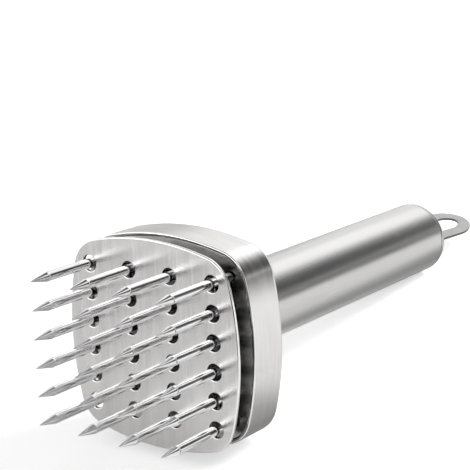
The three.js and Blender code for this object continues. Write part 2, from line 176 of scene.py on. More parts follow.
class TenderizerHandle(bpy.types.PropertyGroup):
    radius: length("Radius", "Radius of the tube handle", 0.0127)
    wall: length("Wall", "Wall of the tube", 0.0012)
    front: depth("Front", "the tube", 0.0225)
    back: depth("Back", "the tube's end", 0.1491)
    tube_edge_round: length("Tube edge rounding", "Rounding of the tube's ends", 0.0003)
    flange_front: depth("Flange front", "the end cap's flange", 0.1494)
    flange_back: depth("Flange back", "the end cap's back", 0.151)
    cap_edge_round: length("Cap edge rounding", "Rounding of the cap's back edge", 0.0007)
    spigot_front: depth("Spigot front", "the end of the spigot", 0.1404)
    spigot_radius: length("Spigot radius", "Radius of the spigot inside the tube", 0.0112)
    pin_hole_radius: length("Pin hole radius", "Cross hole in the spigot and the tang", 0.0015)
    pin_place: depth("Pin place", "the cross pin", 0.146)
    sides: count("Sides", "Sides of the tube and cap", 160, 16)


class TenderizerEye(bpy.types.PropertyGroup):
    thickness: length("Thickness", "Thickness of the sheet", 0.0009)
    edge_round: length("Edge rounding", "Rounding of the sheet's edges", 0.00016)
    turn: amount("Turn", "Turn about the tool's length", math.radians(15.5), -math.pi, subtype="ANGLE")
    tang_front: depth("Tang front", "the tang's end", 0.143)
    shoulder: depth("Shoulder", "the shoulder", 0.1513)
    tip: depth("Tip", "the tip", 0.1883)
    tang_half_width: length("Tang half width", "Half width of the tang", 0.005)
    neck_half_width: length("Neck half width", "Half width at the shoulder", 0.0065)
    half_width: length("Half width", "Half width of the oval end", 0.0084)
    end_length: length("End length", "From the oval's middle to the tip", 0.0141)
    side_band: length("Side band", "Width of the sheet beside the opening", 0.0046)
    tip_band: length("Tip band", "Width of the sheet at the tip", 0.0056)
    root_band: length("Root band", "From the shoulder to the opening", 0.005)


class TenderizerFinishes(bpy.types.PropertyGroup):
    guard: colour("Guard steel", "Brushed guard plate", (0.88, 0.866, 0.861))
    needle: colour("Needle steel", "Polished needles and posts", (0.84, 0.84, 0.845))
    mirror: colour("Mirror steel", "Mirror-polished carrier", (0.8, 0.79, 0.785))
    shell: colour("Shell steel", "Brushed shell", (0.81, 0.795, 0.79))
    handle: colour("Handle steel", "Satin tube and cap", (0.66, 0.655, 0.65))
    eye: colour("Eye steel", "Tumbled sheet", (0.47, 0.465, 0.46))
    spring: colour("Spring steel", "Springs and clips", (0.55, 0.55, 0.56))
    zinc: colour("Zinc", "Plated screws, pillars, bolt and plug", (0.62, 0.63, 0.65))


class TenderizerStage(bpy.types.PropertyGroup):
    floor_colour: colour("Floor colour", "Colour of the pale floor", (0.86, 0.86, 0.86))
    floor_glow: amount("Floor glow", "Light that lifts the floor to white", 0.54)
    mirrored_glow_share: amount("Mirrored glow", "Share of the glow that reflections show", 0.1, max=1)
    floor_half: length("Floor half size", "From the middle to the floor's edge", 3.0)
    fill_level: amount("Fill level", "World light on matt surfaces", 0.5)
    key_power: amount("Key power", "Power of the key light", 6.4, unit="POWER")
    key_size: length("Key size", "Side of the key light", 0.45)
    focal_length: amount("Focal length", "Focal length of the camera", 106.56, 1, subtype="DISTANCE_CAMERA")


GROUPS = {
    "tenderizer_head": TenderizerHead,
    "tenderizer_needles": TenderizerNeedles,
    "tenderizer_guides": TenderizerGuides,
    "tenderizer_handle": TenderizerHandle,
    "tenderizer_eye": TenderizerEye,
    "tenderizer_finishes": TenderizerFinishes,
    "tenderizer_stage": TenderizerStage,
}


def paired(operation):
    """A wire's arithmetic method and its reflected form."""
    def forwards(self, other):
        return self.maths(operation, self, other)

    def reflected(self, other):
        return self.maths(operation, other, self)

    return forwards, reflected


class Wire:
    """A node's output on its way to the inputs that use it. Sums and products of wires add Math nodes."""
    __add__, __radd__ = paired("ADD")
    __sub__, __rsub__ = paired("SUBTRACT")
    __mul__, __rmul__ = paired("MULTIPLY")
    __truediv__, __rtruediv__ = paired("DIVIDE")

    def __init__(self, graph, socket):
        self.graph = graph
        self.socket = socket

    def other(self, output):
        return Wire(self.graph, self.socket.node.outputs[output])

    def maths(self, operation, *values, clamp=False):
        settings = {"operation": operation, "use_clamp": clamp}
        return self.graph.node("ShaderNodeMath", settings, dict(enumerate(values)))

    def __abs__(self):
        return self.maths("ABSOLUTE", self)

    def max(self, other):
        return self.maths("MAXIMUM", self, other)

    def step(self, low, high):
        """0 below low and 1 above high, with a smooth rise between them."""
        values = {"Value": self, "From Min": low, "From Max": high}
        return self.graph.node("ShaderNodeMapRange", {"interpolation_type": "SMOOTHSTEP"}, values)

    def scaled(self, scale):
        """A vector, each part times its own scale."""
        return self.graph.vector_maths("MULTIPLY", self, scale)

    def parts(self):
        split = self.graph.node("ShaderNodeSeparateXYZ", {}, {"Vector": self})
        return split, split.other("Y"), split.other("Z")


class Graph:
    """A node tree and the one way of adding nodes to it."""

    def __init__(self, tree):
        self.tree = tree

    def node(self, kind, settings=None, values=None, output=0):
        """Adds a node with its settings and the values or wires of its sockets, and returns its output."""
        made = self.tree.nodes.new(kind)
        for key, value in (settings or {}).items():
            setattr(made, key, value)
        for key, value in (values or {}).items():
            self.feed(made, key, value)
        return Wire(self, made.outputs[output]) if len(made.outputs) else made

    def feed(self, made, key, value):
        """Gives a value or a wire to a socket, which is found by its identifier, name or number."""
        named = [socket for socket in made.inputs if socket.identifier == key]
        socket = named[0] if named else made.inputs[key]
        if isinstance(value, Wire):
            self.tree.links.new(value.socket, socket)
        else:
            socket.default_value = value

    def mix(self, share, first, second):
        values = {"Factor_Float": share, "A_Color": opaque(first), "B_Color": opaque(second)}
        return self.node("ShaderNodeMix", {"data_type": "RGBA"}, values).other(2)

    def vector_maths(self, operation, *vectors, **numbers):
        values = {**dict(enumerate(vectors)), **numbers}
        return self.node("ShaderNodeVectorMath", {"operation": operation}, values)

    def vector(self, x, y, z):
        return self.node("ShaderNodeCombineXYZ", {}, {"X": x, "Y": y, "Z": z})


def opaque(value):
    return value if isinstance(value, Wire) else (*value[:3], 1)


# Geometry trees
class GeometryGraph(Graph):
    """A Geometry Nodes tree with named inputs, which ends in real geometry with a material."""

    def __init__(self, name, inputs):
        super().__init__(bpy.data.node_groups.new(name, "GeometryNodeTree"))
        interface = self.tree.interface
        interface.new_socket("Geometry", in_out="INPUT", socket_type="NodeSocketGeometry")
        for label, kind in inputs.items():
            interface.new_socket(label, in_out="INPUT", socket_type="NodeSocket" + kind)
        interface.new_socket("Material", in_out="INPUT", socket_type="NodeSocketMaterial")
        interface.new_socket("Geometry", in_out="OUTPUT", socket_type="NodeSocketGeometry")
        self.entry = self.node("NodeGroupInput")

    def given(self, label):
        return self.entry.other(label)

    def end(self, geometry):
        real = self.node("GeometryNodeRealizeInstances", {}, {"Geometry": geometry})
        values = {"Geometry": real, "Material": self.given("Material")}
        self.node("NodeGroupOutput", {}, {"Geometry": self.node("GeometryNodeSetMaterial", {}, values)})
        return self.tree

    def joined(self, *geometries):
        """Links the geometries one after the other, because they share one socket."""
        join = self.node("GeometryNodeJoinGeometry")
        for geometry in geometries:
            self.feed(join.socket.node, "Geometry", geometry)
        return join

    def sampled(self, value, number):
        """A vector value at the numbered point of the drawn piece."""
        values = {"Geometry": self.given("Geometry"), "Value": value, "Index": number}
        return self.node("GeometryNodeSampleIndex", {"data_type": "FLOAT_VECTOR", "clamp": True}, values)

    def moved(self, start, direction, distance):
        return self.vector_maths("ADD", start, self.vector_maths("SCALE", direction, Scale=distance))

    def field_points(self):
        rows, columns = self.given("Rows"), self.given("Columns")
        return self.node("GeometryNodeMeshGrid", {}, {
            "Size X": self.given("Pitch Across") * (columns - 1),
            "Size Y": self.given("Pitch Up") * (rows - 1),
            "Vertices X": columns,
            "Vertices Y": rows,
        })


FIELD_INPUTS = {"Rows": "Int", "Columns": "Int", "Pitch Up": "Float", "Pitch Across": "Float"}


def field_tree():
    """Repeats a drawn piece over rows and columns."""
    tree = GeometryGraph("Field of pieces", FIELD_INPUTS)
    values = {"Points": tree.field_points(), "Instance": tree.given("Geometry")}
    return tree.end(tree.node("GeometryNodeInstanceOnPoints", {}, values))


def perforation_tree():
    """Adds the outlines of round holes, in rows and columns, to a plate's outline."""
    tree = GeometryGraph("Field of holes", {**FIELD_INPUTS, "Hole Radius": "Float", "Hole Sides": "Int"})
    hole = tree.node("GeometryNodeMeshCircle", {}, {
        "Vertices": tree.given("Hole Sides"),
        "Radius": tree.given("Hole Radius"),
    })
    holes = tree.node("GeometryNodeInstanceOnPoints", {}, {"Points": tree.field_points(), "Instance": hole})
    return tree.end(tree.joined(tree.given("Geometry"), holes))


def plate_tree():
    """Fills outlines and the holes in them, and gives the sheet its thickness."""
    tree = GeometryGraph("Plate from outlines", {"Front": "Float", "Thickness": "Float"})
    outlines = tree.node("GeometryNodeMeshToCurve", {}, {"Mesh": tree.given("Geometry")})
    sheet = tree.node("GeometryNodeFillCurve", {"mode": "NGONS"}, {"Curve": outlines})
    front = tree.node("GeometryNodeTransform", {}, {
        "Geometry": sheet,
        "Translation": tree.vector(0, 0, tree.given("Front")),
    })
    raised = tree.node("GeometryNodeExtrudeMesh", {"mode": "FACES"}, {
        "Mesh": front,
        "Offset Scale": tree.given("Thickness"),
        "Individual": False,
    })
    under = tree.node("GeometryNodeFlipFaces", {}, {"Mesh": front})
    values = {"Geometry": tree.joined(raised, under), "Distance": MERGE}
    return tree.end(tree.node("GeometryNodeMergeByDistance", {}, values))


def skin_tree():
    """Carries a section round an outline. The first points of the mesh are the outline, each with its outward
    direction. The others are the section: X is the way out, Z the height, and Y is 0 to follow the outline
    and 1 to run round the middle at the radius X."""
    tree = GeometryGraph("Section round an outline", {"Outline Points": "Int", "Section Points": "Int"})
    around, section = tree.given("Outline Points"), tree.given("Section Points")
    grid = tree.node("GeometryNodeMeshGrid", {}, {
        "Size X": 1.0,
        "Size Y": 1.0,
        "Vertices X": around + 1,
        "Vertices Y": section,
    })
    number = tree.node("GeometryNodeInputIndex")
    column = number.maths("FLOOR", number / section)
    place = number.maths("MODULO", column, around)
    level = number - column * section
    outline = tree.sampled(tree.node("GeometryNodeInputPosition"), place)
    named = tree.node("GeometryNodeInputNamedAttribute", {"data_type": "FLOAT_VECTOR"}, {"Name": "outward"})
    outward = tree.sampled(named, place)
    out, round_share, height = tree.sampled(tree.node("GeometryNodeInputPosition"), around + level).parts()
    mixed = tree.node("ShaderNodeMix", {"data_type": "VECTOR"}, {
        "Factor_Float": round_share,
        "A_Vector": tree.moved(outline, outward, out),
        "B_Vector": tree.vector_maths("SCALE", tree.vector_maths("NORMALIZE", outline), Scale=out),
    }).other(1)
    lifted = tree.vector_maths("ADD", mixed, tree.vector(0, 0, height))
    skin = tree.node("GeometryNodeSetPosition", {}, {"Geometry": grid, "Position": lifted})
    closed = tree.node("GeometryNodeMergeByDistance", {}, {"Geometry": skin, "Distance": MERGE})
    return tree.end(tree.node("GeometryNodeSetShadeSmooth", {}, {"Geometry": closed, "Shade Smooth": True}))


def coil_tree():
    """Draws one coil spring as a single wire, with a nearly flat turn at each end."""
    tree = GeometryGraph("Coil spring", {
        "Turns": "Float", "Dead Turns": "Float", "Dead Rise": "Float", "Mean Radius": "Float",
        "Wire Radius": "Float", "Front": "Float", "Back": "Float", "Steps": "Int", "Wire Sides": "Int",
    })
    share = tree.node("GeometryNodeInputIndex") / tree.given("Steps")
    dead = tree.given("Dead Turns") / tree.given("Turns")
    dead_rise = tree.given("Dead Rise")
    live_rise = tree.given("Back") - tree.given("Front") - 2 * dead_rise
    first = share.maths("MINIMUM", share, dead) / dead * dead_rise
    middle = share.maths("DIVIDE", share - dead, 1 - 2 * dead, clamp=True) * live_rise
    last = (share - (1 - dead)).max(0) / dead * dead_rise
    angle = share * tree.given("Turns") * math.tau
    radius = tree.given("Mean Radius")
    line = tree.node("GeometryNodeMeshLine", {}, {"Count": tree.given("Steps") + 1})
    centre = tree.vector(
        angle.maths("COSINE", angle) * radius,
        angle.maths("SINE", angle) * radius,
        tree.given("Front") + first + middle + last,
    )
    placed = tree.node("GeometryNodeSetPosition", {}, {"Geometry": line, "Position": centre})
    path = tree.node("GeometryNodeMeshToCurve", {}, {"Mesh": placed})
    wire = tree.node("GeometryNodeCurvePrimitiveCircle", {}, {
        "Resolution": tree.given("Wire Sides"),
        "Radius": tree.given("Wire Radius"),
    })
    coil = tree.node("GeometryNodeCurveToMesh", {}, {"Curve": path, "Profile Curve": wire, "Fill Caps": True})
    return tree.end(coil)


# Drawing
def facing(angle):
    """The direction at an angle, which is 1 long."""
    return Vector((math.cos(angle), math.sin(angle)))


def head_outline(head):
    """Points round the head with their outward directions: bowed sides joined by round corners."""
    bow_centre = head.half_width - head.side_bow_radius
    reach = head.side_bow_radius - head.corner_radius
    corner_centre = (bow_centre + math.sqrt(2 * reach * reach - bow_centre * bow_centre)) / 2
    turned = math.atan2(corner_centre, corner_centre - bow_centre)
    rest = math.pi / 2 - 2 * turned
    side = ((bow_centre, 0), head.side_bow_radius, -turned, 2 * turned, head.side_steps)
    corner = ((corner_centre, corner_centre), head.corner_radius, turned, rest, head.corner_steps)
    outline = []
    for quarter in range(4):
        turn = Matrix.Rotation(quarter * math.pi / 2, 2)
        for centre, radius, start, sweep, steps in (side, corner):
            for step in range(steps):
                outward = facing(start + sweep * step / steps)
                outline.append((turn @ (Vector(centre) + radius * outward), turn @ outward))
    return outline


def round_outline(sides):
    """Points round a circle with a radius of 1, each with its outward direction."""
    ways = [facing(math.tau * step / sides) for step in range(sides)]
    return [(way, way) for way in ways]


def half_oval(centre, length_radius, width_radius, start):
    """Points along half an oval whose middle is on the tool's length."""
    ways = [facing(start + math.pi * step / OVAL_STEPS) for step in range(OVAL_STEPS + 1)]
    return [(centre + length_radius * way.x, width_radius * way.y) for way in ways]


def softened(corners, closed=False, steps=5, support=0.0003):
    """The points of a section. A corner is (way out, round share, height, radius), and one with a radius
    becomes an arc with a support point on each side, which keeps the flats beside it flat."""
    points = []
    last = len(corners) - 1
    for number, (out, share, height, radius) in enumerate(corners):
        if not radius or (not closed and number in (0, last)):
            points.append((out, share, height))
            continue
        here = Vector((out, height))
        before = Vector(corners[number - 1][::2]) - here
        after = Vector(corners[(number + 1) % len(corners)][::2]) - here
        back, ahead = before.normalized(), after.normalized()
        half = back.angle(ahead) / 2
        tangent = radius / math.tan(half)
        centre = here + (back + ahead).normalized() * radius / math.sin(half)
        start, end = here + back * tangent - centre, here + ahead * tangent - centre
        sweep = start.angle_signed(end)
        arc = [centre + Matrix.Rotation(-sweep * step / steps, 2) @ start for step in range(steps + 1)]
        spares = [min(support, (flat.length - tangent) * SUPPORT_SHARE) for flat in (before, after)]
        if spares[0] > MERGE:
            arc.insert(0, arc[0] + back * spares[0])
        if spares[1] > MERGE:
            arc.append(arc[-1] + ahead * spares[1])
        points.extend((point.x, share, point.y) for point in arc)
    if closed:
        points.append(points[0])
    return points


def edge_loops(loops):
    """A mesh of closed edge loops, drawn flat."""
    points, edges = [], []
    for loop in loops:
        start = len(points)
        points.extend((x, y, 0) for x, y in loop)
        edges.extend((start + step, start + (step + 1) % len(loop)) for step in range(len(loop)))
    mesh = bpy.data.meshes.new("outline")
    mesh.from_pydata(points, edges, [])
    return mesh


def skin_drawing(outline, section):
    """The mesh that the skin tree reads: outline points with their outward directions, then the section."""
    mesh = bpy.data.meshes.new("section")
    mesh.from_pydata([(*point, 0) for point, outward in outline] + list(section), [], [])
    outward = mesh.attributes.new("outward", "FLOAT_VECTOR", "POINT")
    ways = [(*way, 0) for point, way in outline] + [(0, 0, 0)] * len(section)
    outward.data.foreach_set("vector", [number for way in ways for number in way])
    return mesh


def put(name, drawn):
    """Adds an object to the scene for a mesh, light or camera."""
    piece = bpy.data.objects.new(name, drawn)
    bpy.context.scene.collection.objects.link(piece)
    return piece


def grow(piece, tree, **given):
    """Adds a Geometry Nodes modifier and sets its inputs, each by its socket's identifier."""
    modifier = piece.modifiers.new(tree.name, "NODES")
    modifier.node_group = tree
    wanted = {label.replace("_", " ").title(): value for label, value in given.items()}
    for item in tree.interface.items_tree:
        if item.item_type == "SOCKET" and item.in_out == "INPUT" and item.name in wanted:
            modifier[item.identifier] = wanted.pop(item.name)
    if wanted:
        raise ValueError(f"{tree.name} has no inputs named {sorted(wanted)}")


def put_skin(name, outline, section, material):
    """A section carried round an outline."""
    piece = put(name, skin_drawing(outline, section))
    grow(piece, skin_tree(), outline_points=len(outline), section_points=len(section), material=material)
    return piece


def repeat(piece, sizes, rows, columns, material):
    """Repeats a drawn piece at the pitches that its sizes give."""
    grow(
        piece, field_tree(), rows=rows, columns=columns, pitch_up=sizes.pitch_up,
        pitch_across=sizes.pitch_across, material=material,
    )


def punch(piece, field, radius, sides, material):
    """Adds round holes to a plate's outline. The field is their rows, columns and pitches up and across."""
    rows, columns, pitch_up, pitch_across = field
    grow(
        piece, perforation_tree(), rows=rows, columns=columns, pitch_up=pitch_up,
        pitch_across=pitch_across, hole_radius=radius, hole_sides=sides, material=material,
    )


def turned_piece(name, corners, sides, material, closed=False, steps=5, support=0.0003):
    """A section carried round the tool's length. A corner is (radius, height, rounding)."""
    section = softened([(out, 1, height, radius) for out, height, radius in corners], closed, steps, support)
    return put_skin(name, round_outline(sides), section, material)


def round_edges(piece, width):
    bevel = piece.modifiers.new("Rounded edges", "BEVEL")
    bevel.width = width
    bevel.segments = EDGE_STEPS
    bevel.limit_method = "ANGLE"
    bevel.angle_limit = EDGE_ANGLE


def settle(piece, body, nodes, turned=None):
    """Turns a drawn piece into a plain mesh, lays it down, and hands it to the frame."""
    depsgraph = bpy.context.evaluated_depsgraph_get()
    mesh = bpy.data.meshes.new_from_object(piece.evaluated_get(depsgraph), depsgraph=depsgraph)
    piece.modifiers.clear()
    sketch, piece.data = piece.data, mesh
    bpy.data.meshes.remove(sketch)
    mesh.name = piece.name
    shell = bmesh.new()
    shell.from_mesh(mesh)
    bmesh.ops.remove_doubles(shell, verts=shell.verts, dist=MERGE)
    bmesh.ops.dissolve_degenerate(shell, edges=shell.edges, dist=MERGE / 10)
    bmesh.ops.recalc_face_normals(shell, faces=shell.faces)
    if turned:
        shell.transform(turned)
    for face in shell.faces:
        face.smooth = abs(face.normal.z) < FLAT
    shell.to_mesh(mesh)
    shell.free()
    mesh.transform(LAID)
    if not mesh.polygons:
        raise RuntimeError(f"{piece.name} came out empty")
    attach(piece, body)
    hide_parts(*nodes)
    return piece


def four(name):
    """The names of four like nodes."""
    return [f"{name}_{number}" for number in (1, 2, 3, 4)]


# Finishes

# How deep the marks of each finish are, in metres.
BRUSHED_DEPTH = 0.0000018
GROUND_DEPTH = 0.0000012
MIRROR_DEPTH = 0.000008
SATIN_DEPTH = 0.0000006
TUMBLED_DEPTH = 0.000012
DRAWN_DEPTH = 0.000002


def fresh_graph(owner):
    """The emptied node tree of a material or of the world."""
    owner.use_nodes = True
    owner.node_tree.nodes.clear()
    return Graph(owner.node_tree)


def tool_coordinates(graph):
    """Object coordinates in millimetres along the tool, across it and up from it."""
    laid = graph.node("ShaderNodeMapping", {"vector_type": "TEXTURE"}, {
        "Vector": graph.node("ShaderNodeTexCoord", output="Object"),
        "Location": MOUNTS["guard_face"],
        "Rotation": (0, TILT, 0),
    })
    return laid.scaled((1 / MILLIMETRE,) * 3)


def grain(place, scale, detail=2.0):
    """Noise from -1 to 1 at so many spots to the millimetre each way."""
    noise = place.graph.node("ShaderNodeTexNoise", {"noise_dimensions": "3D"}, {
        "Vector": place.scaled(scale),
        "Scale": 1.0,
        "Detail": detail,
        "Roughness": 0.55,
    })
    return noise * 2 - 1


def inside_field(across, up, across_edge, up_edge):
    """1 over the field of needles and 0 outside it. Each edge fades out between two distances from the
    middle in millimetres."""
    return 1 - abs(across).step(*across_edge).max(abs(up).step(*up_edge))


def surface(base, shade, roughness, marks, mark_depth, strength=1.0):
    """Shader values: the base colour made lighter or darker by the shade, from -1 to 1, and the marks."""
    graph, lifted = shade.graph, shade + 1
    share = lifted.maths("MULTIPLY", lifted, 0.5, clamp=True)
    bump = {"Height": marks, "Distance": mark_depth, "Strength": strength}
    return {
        "Base Color": graph.mix(share, (0, 0, 0), [part * 2 for part in base]),
        "Roughness": roughness,
        "Normal": graph.node("ShaderNodeBump", {}, bump),
    }


def finish(metal):
    """The material of a metal, made on its first use. The metal's function gives the shader's values."""
    name = f"{metal.__name__}_finish"
    material = bpy.data.materials.get(name)
    if material is None:
        material = bpy.data.materials.new(name)
        graph = fresh_graph(material)
        values = metal(tool_coordinates(graph), bpy.context.scene)
        shader = graph.node("ShaderNodeBsdfPrincipled", {}, {"Metallic": 1.0, **values})
        graph.node("ShaderNodeOutputMaterial", {}, {"Surface": shader})
    return material


def guard_steel(place, scene):
    """Fine brushing up and down the face, polished edges, and painted shade in the holes and behind them."""
    thickness = scene.tenderizer_head.guard_thickness / MILLIMETRE
    along, across, up = place.parts()
    lines = grain(place, (0.6, 2.4, 0.07), 4.0)
    drifts = grain(place, (0.2, 0.3, 0.03))
    edge = 1 - abs(along - thickness / 2).step(thickness / 2 - 0.12, thickness / 2 - 0.02)
    behind = along.step(thickness - 0.1, thickness)
    painted_shade_field = inside_field(across, up, across_edge=(25.5, 26.5), up_edge=(24.5, 25.5))
    # Painted shade: the hole walls and the back face are darkened over the field of needles.
    shade = lines * 0.14 + drifts * 0.12 + edge * 0.06 - edge.max(behind) * painted_shade_field * 0.8
    roughness = 0.25 + lines * 0.05 + drifts * 0.03 - edge * 0.15
    return surface(scene.tenderizer_finishes.guard, shade, roughness, lines * (1 - edge), BRUSHED_DEPTH)


def needle_steel(place, scene):
    """Bright polish with faint smears and turning rings, a little rougher on the ground cone."""
    sizes = scene.tenderizer_needles
    shoulder = (sizes.point_length - sizes.reach) / MILLIMETRE
    along = place.parts()[0]
    rings = grain(place, (9.0, 0.15, 0.15))
    smears = grain(place, (0.3, 0.9, 0.9))
    cone = 1 - along.step(shoulder - 0.05, shoulder + 0.05)
    shade = smears * 0.03 + rings * 0.015
    roughness = 0.06 + cone * 0.02 + smears * 0.02 + rings * 0.02
    return surface(scene.tenderizer_finishes.needle, shade, roughness, rings * cone, GROUND_DEPTH)


def mirror_steel(place, scene):
    """Mirror polish with faint brushing and smudges, darkened by painted shade under the needles."""
    across, up = place.parts()[1:]
    lines = grain(place, (0.6, 0.12, 2.6), 3.0)
    smudges = grain(place, (0.3, 0.25, 0.3), 3.0)
    painted_shade_field = inside_field(across, up, across_edge=(26, 31), up_edge=(23.5, 25.5))
    # Painted shade: the carrier is darkened over the field of needles, behind the guard.
    shade = smudges * 0.3 + lines * 0.15 - painted_shade_field * 0.75
    roughness = 0.42 + smudges * 0.08 + lines * 0.05 - painted_shade_field * 0.12
    return surface(scene.tenderizer_finishes.mirror, shade, roughness, lines, MIRROR_DEPTH)


def shell_steel(place, scene):
    """Brushed round the head, with a polished rim."""
    rim = scene.tenderizer_head.rim_front / MILLIMETRE
    along = place.parts()[0]
    lines = grain(place, (2.4, 0.07, 0.07), 4.0)
    drifts = grain(place, (0.3, 0.06, 0.06))
    polish = 1 - along.step(rim + 0.35, rim + 0.6)
    shade = lines * 0.16 + drifts * 0.08 + polish * 0.1
    roughness = 0.24 + lines * 0.04 + drifts * 0.03 - polish * 0.12
    return surface(scene.tenderizer_finishes.shell, shade, roughness, lines * (1 - polish), BRUSHED_DEPTH)


def handle_steel(place, scene):
    """Satin tube with faint lengthwise lines."""
    lines = grain(place, (0.05, 5.0, 5.0), 3.0)
    rings = grain(place, (2.5, 0.1, 0.1))
    drifts = grain(place, (0.03, 0.2, 0.2))
    shade = lines * 0.012 + drifts * 0.015
    roughness = 0.26 + lines * 0.025 + rings * 0.015 + drifts * 0.02
    return surface(scene.tenderizer_finishes.handle, shade, roughness, lines + rings * 0.5, SATIN_DEPTH)


def eye_steel(place, scene):
    """Sheet with the fine sparkle of tumbling and a darker cut edge."""
    sizes = scene.tenderizer_eye
    half = sizes.thickness / 2 / MILLIMETRE
    across, up = place.parts()[1:]
    off_sheet = abs(up * math.cos(sizes.turn) - across * math.sin(sizes.turn))
    edge = 1 - off_sheet.step(half - 0.12, half - 0.03)
    sparkle = grain(place, (1.5, 1.5, 1.5), 4.0)
    drifts = grain(place, (0.25, 0.25, 0.25))
    shade = sparkle * 0.3 + drifts * 0.1 - edge * 0.55
    roughness = 0.42 + sparkle * 0.08 - edge * 0.05
    return surface(scene.tenderizer_finishes.eye, shade, roughness, sparkle, TUMBLED_DEPTH, 0.6)


def spring_steel(place, scene):
    """Drawn wire with faint marks."""
    marks = grain(place, (3.0, 3.0, 3.0), 3.0)
    return surface(scene.tenderizer_finishes.spring, marks * 0.06, 0.27 + marks * 0.06, marks, DRAWN_DEPTH)


def zinc(place, scene):
    """Plating with a faint mottle and turning marks."""
    mottle = grain(place, (0.8, 0.8, 0.8), 3.0)
    rings = grain(place, (6.0, 0.3, 0.3))
    roughness = 0.36 + mottle * 0.06 + rings * 0.03
    return surface(scene.tenderizer_finishes.zinc, mottle * 0.08, roughness, rings + mottle, DRAWN_DEPTH)


# Operators
class BuildNeedles(bpy.types.Operator):
    """Build the needles: one turned needle repeated over the head"""
    bl_idname = "tenderizer.needles"
    bl_label = "Needles"

    def execute(self, context):
        sizes = context.scene.tenderizer_needles
        shoulder = sizes.point_length - sizes.reach
        land = shoulder + sizes.shoulder_land
        shank = sizes.radius - sizes.shank_relief
        corners = [
            (0, -sizes.reach, 0),
            (sizes.bluntness, -sizes.reach, sizes.bluntness / 2),
            (sizes.radius, shoulder, sizes.shoulder_land / 2),
            (sizes.radius, land, 0),
            (shank, land + sizes.shank_relief, 0),
            (shank, land + 2 * sizes.shoulder_land, 0),
            (shank, sizes.head_front - sizes.shoulder_land, 0),
            (shank, sizes.head_front, 0),
            (sizes.head_radius, sizes.head_front, sizes.bluntness),
            (sizes.head_radius, sizes.head_back, sizes.bluntness),
            (0, sizes.head_back, 0),
        ]
        material = finish(needle_steel)
        piece = turned_piece("needle_set", corners, sizes.sides, material, steps=3, support=0.0002)
        repeat(piece, sizes, sizes.rows, sizes.columns, material)
        nodes = [
            f"needle_r{row + 1}_c{column + 1}" for row in range(sizes.rows) for column in range(sizes.columns)
        ]
        settle(piece, "tool", nodes)
        return {"FINISHED"}


class BuildGuardPlate(bpy.types.Operator):
    """Build the perforated guard plate that the needles slide in"""
    bl_idname = "tenderizer.guard_plate"
    bl_label = "Guard plate"

    def execute(self, context):
        head, needles = context.scene.tenderizer_head, context.scene.tenderizer_needles
        material = finish(guard_steel)
        piece = put("perforated_guard", edge_loops([[point for point, outward in head_outline(head)]]))
        field = (needles.rows, needles.columns, needles.pitch_up, needles.pitch_across)
        punch(piece, field, head.guard_hole_radius, HOLE_SIDES, material)
        grow(piece, plate_tree(), front=0.0, thickness=head.guard_thickness, material=material)
        round_edges(piece, head.plate_edge_round)
        settle(piece, "guard", ["guard_plate"])
        return {"FINISHED"}


class BuildCarrier(bpy.types.Operator):
    """Build the mirror-polished plate that carries the needles"""
    bl_idname = "tenderizer.carrier"
    bl_label = "Needle carrier"

    def execute(self, context):
        scene = context.scene
        head, needles, guides = scene.tenderizer_head, scene.tenderizer_needles, scene.tenderizer_guides
        material = finish(mirror_steel)
        outline = [point - outward * head.carrier_inset for point, outward in head_outline(head)]
        piece = put("mirror_carrier", edge_loops([outline]))
        needle_field = (needles.rows, needles.columns, needles.pitch_up, needles.pitch_across)
        post_field = (POST_ROWS, POST_COLUMNS, guides.pitch_up, guides.pitch_across)
        punch(piece, needle_field, head.carrier_hole_radius, NEEDLE_HOLE_SIDES, material)
        punch(piece, post_field, guides.spring_hole_radius, HOLE_SIDES, material)
        for screw_field in ((2, 1, guides.screw_pitch_up, 0.0), (1, 2, 0.0, guides.screw_pitch_across)):
            punch(piece, screw_field, guides.screw_hole_radius, HOLE_SIDES, material)
        front, thickness = head.carrier_front, head.carrier_thickness
        grow(piece, plate_tree(), front=front, thickness=thickness, material=material)
        round_edges(piece, head.plate_edge_round)
        settle(piece, "tool", ["needle_carrier"])
        return {"FINISHED"}


class BuildShell(bpy.types.Operator):
    """Build the drawn head shell with its rounded rim and back edge"""
    bl_idname = "tenderizer.shell"
    bl_label = "Head shell"

    def execute(self, context):
        head = context.scene.tenderizer_head
        back, floor = head.shell_back, head.shell_back - head.shell_wall
        wall, bore = head.shell_wall, head.bolt_hole_radius
        inner_radius = head.shell_edge_radius - wall
        flat = 2 * head.shell_edge_radius
        corners = [
            (0, 0, head.rim_front, head.rim_round),
            (0, 0, back, head.shell_edge_radius),
            (-flat, 0, back, 0),
            (bore + wall, 1, back, 0),
            (bore, 1, back, 0),
            (bore, 1, floor, 0),
            (bore + wall, 1, floor, 0),
            (-flat, 0, floor, 0),
            (-wall, 0, floor, inner_radius),
            (-wall, 0, head.rim_front, head.rim_round),
        ]
        section = softened(corners, closed=True, steps=6)
        piece = put_skin("drawn_shell", head_outline(head), section, finish(shell_steel))
        settle(piece, "tool", ["head_shell"])
        return {"FINISHED"}


class BuildGuidePosts(bpy.types.Operator):
    """Build the four posts that guide the guard plate"""
    bl_idname = "tenderizer.guide_posts"
    bl_label = "Guide posts"

    def execute(self, context):
        guides = context.scene.tenderizer_guides
        foot_back = guides.foot_front + guides.foot_thickness
        soft = guides.foot_thickness / 4
        corners = [
            (0, guides.foot_front, 0),
            (guides.foot_radius, guides.foot_front, soft),
            (guides.foot_radius, foot_back, soft),
            (guides.post_radius, foot_back, soft),
            (guides.post_radius, guides.groove_front, soft / 3),
            (guides.groove_radius, guides.groove_front, soft / 3),
            (guides.groove_radius, guides.groove_back, soft / 3),
            (guides.post_radius, guides.groove_back, soft / 3),
            (guides.post_radius, guides.post_end, soft),
            (0, guides.post_end, 0),
        ]
        material = finish(needle_steel)
        piece = turned_piece("guide_post_set", corners, POST_SIDES, material, steps=3)
        repeat(piece, guides, POST_ROWS, POST_COLUMNS, material)
        settle(piece, "guard", four("guide_post"))
        return {"FINISHED"}


